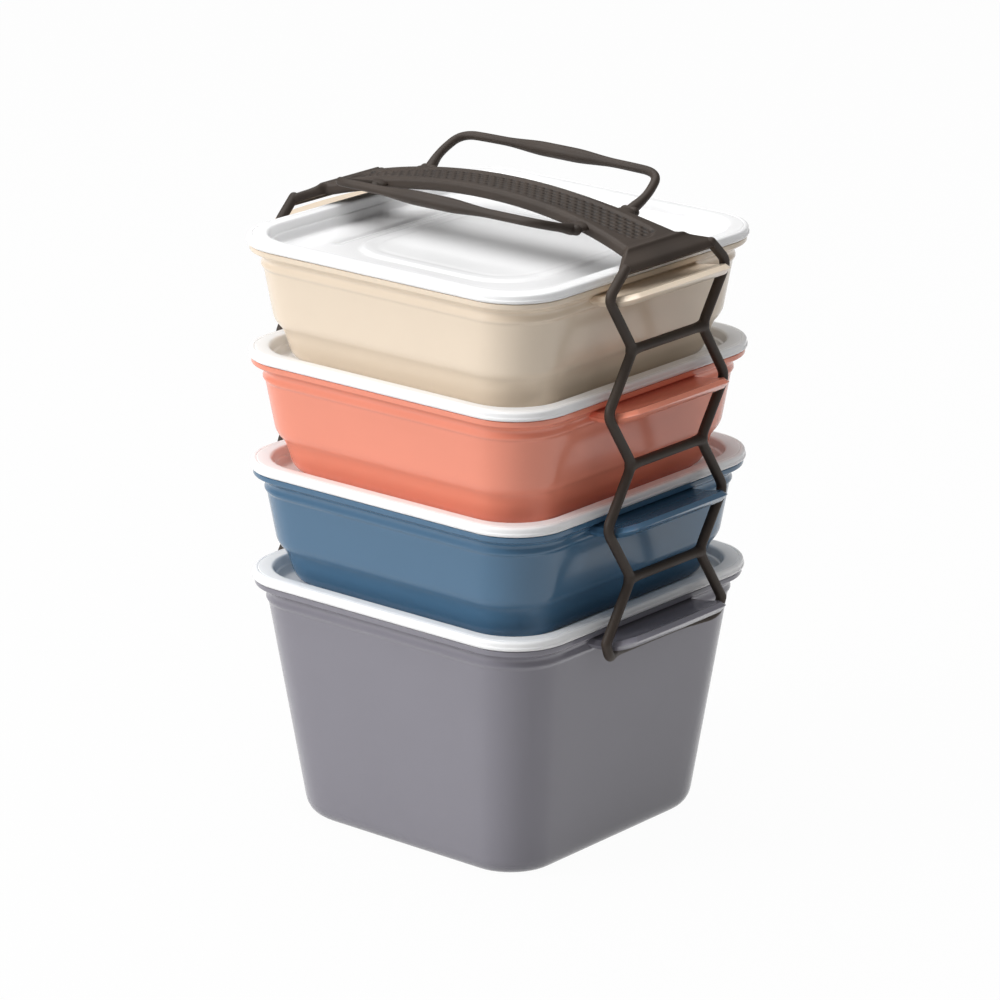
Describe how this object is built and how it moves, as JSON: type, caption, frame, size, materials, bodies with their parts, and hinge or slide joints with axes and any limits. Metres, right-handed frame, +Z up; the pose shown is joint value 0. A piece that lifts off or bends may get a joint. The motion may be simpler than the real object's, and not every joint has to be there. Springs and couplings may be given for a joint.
{
  "type": "tiffin carrier",
  "caption": "Stack of nesting square food boxes with snap lids and side ears, held in an elastomer harness with a grip strap, fold-up loops and side ladders.",
  "frame": {"origin": "middle of the lowest box's base, on the surface it stands on", "axes": "+Z up, X along the grip strap towards the ears, Y from front to rear"},
  "size_m": [0.22, 0.18, 0.315],
  "materials": {
    "grey_box": "glossy moulded polypropylene, dark grey",
    "blue_box": "glossy moulded polypropylene, slate blue",
    "coral_box": "glossy moulded polypropylene, coral",
    "beige_box": "glossy moulded polypropylene, beige",
    "lid": "translucent white polyethylene",
    "harness": "semi-matte fine-grained elastomer, taupe brown"
  },
  "bodies": {
    "grey_box": {"grey_box": "grey_box"},
    "grey_lid": {"grey_lid": "lid"},
    "blue_box": {"blue_box": "blue_box"},
    "blue_lid": {"blue_lid": "lid"},
    "coral_box": {"coral_box": "coral_box"},
    "coral_lid": {"coral_lid": "lid"},
    "beige_box": {"beige_box": "beige_box"},
    "beige_lid": {"beige_lid": "lid"},
    "carrier_grip": {"grip": "harness", "left_yoke": "harness", "right_yoke": "harness", "front_left_tab": "harness", "front_right_tab": "harness", "rear_left_tab": "harness", "rear_right_tab": "harness"},
    "left_ladder": {"left_front_leg": "harness", "left_rear_leg": "harness", "left_upper_rung": "harness", "left_middle_rung": "harness", "left_lower_rung": "harness", "left_bottom_bar": "harness"},
    "right_ladder": {"right_front_leg": "harness", "right_rear_leg": "harness", "right_upper_rung": "harness", "right_middle_rung": "harness", "right_lower_rung": "harness", "right_bottom_bar": "harness"},
    "front_loop": {"front_loop": "harness"},
    "rear_loop": {"rear_loop": "harness"}
  },
  "joints": [
    {"name": "grey_lid_lift", "type": "slide", "parent": "grey_box", "child": "grey_lid", "axis": [0, 0, 1], "range_m": [0, 0.0537], "deforming": ["left_front_leg", "left_rear_leg", "left_upper_rung", "left_middle_rung", "left_lower_rung", "left_bottom_bar", "right_front_leg", "right_rear_leg", "right_upper_rung", "right_middle_rung", "right_lower_rung", "right_bottom_bar"]},
    {"name": "blue_box_lift", "type": "slide", "parent": "grey_lid", "child": "blue_box", "axis": [0, 0, 1], "range_m": [0, 0.0537]},
    {"name": "blue_lid_lift", "type": "slide", "parent": "blue_box", "child": "blue_lid", "axis": [0, 0, 1], "range_m": [0, 0.0537]},
    {"name": "coral_box_lift", "type": "slide", "parent": "blue_lid", "child": "coral_box", "axis": [0, 0, 1], "range_m": [0, 0.0537]},
    {"name": "coral_lid_lift", "type": "slide", "parent": "coral_box", "child": "coral_lid", "axis": [0, 0, 1], "range_m": [0, 0.0537]},
    {"name": "beige_box_lift", "type": "slide", "parent": "coral_lid", "child": "beige_box", "axis": [0, 0, 1], "range_m": [0, 0.0537]},
    {"name": "beige_lid_lift", "type": "slide", "parent": "beige_box", "child": "beige_lid", "axis": [0, 0, 1], "range_m": [0, 0.0537]},
    {"name": "harness_lift", "type": "slide", "parent": "beige_lid", "child": "carrier_grip", "axis": [0, 0, 1], "range_m": [0, 0.0537]},
    {"name": "left_ladder_swing", "type": "hinge", "parent": "carrier_grip", "child": "left_ladder", "pos_m": [-0.099, 0, 0.287], "axis": [0, 1, 0], "range_deg": [0, 80]},
    {"name": "right_ladder_swing", "type": "hinge", "parent": "carrier_grip", "child": "right_ladder", "pos_m": [0.099, 0, 0.287], "axis": [0, -1, 0], "range_deg": [0, 80]},
    {"name": "front_loop_fold", "type": "hinge", "parent": "carrier_grip", "child": "front_loop", "pos_m": [0, -0.0206, 0.29805], "axis": [-1, 0, 0], "range_deg": [0, 76]},
    {"name": "rear_loop_fold", "type": "hinge", "parent": "carrier_grip", "child": "rear_loop", "pos_m": [0, 0.0206, 0.29805], "axis": [1, 0, 0], "range_deg": [0, 67]}
  ]
}
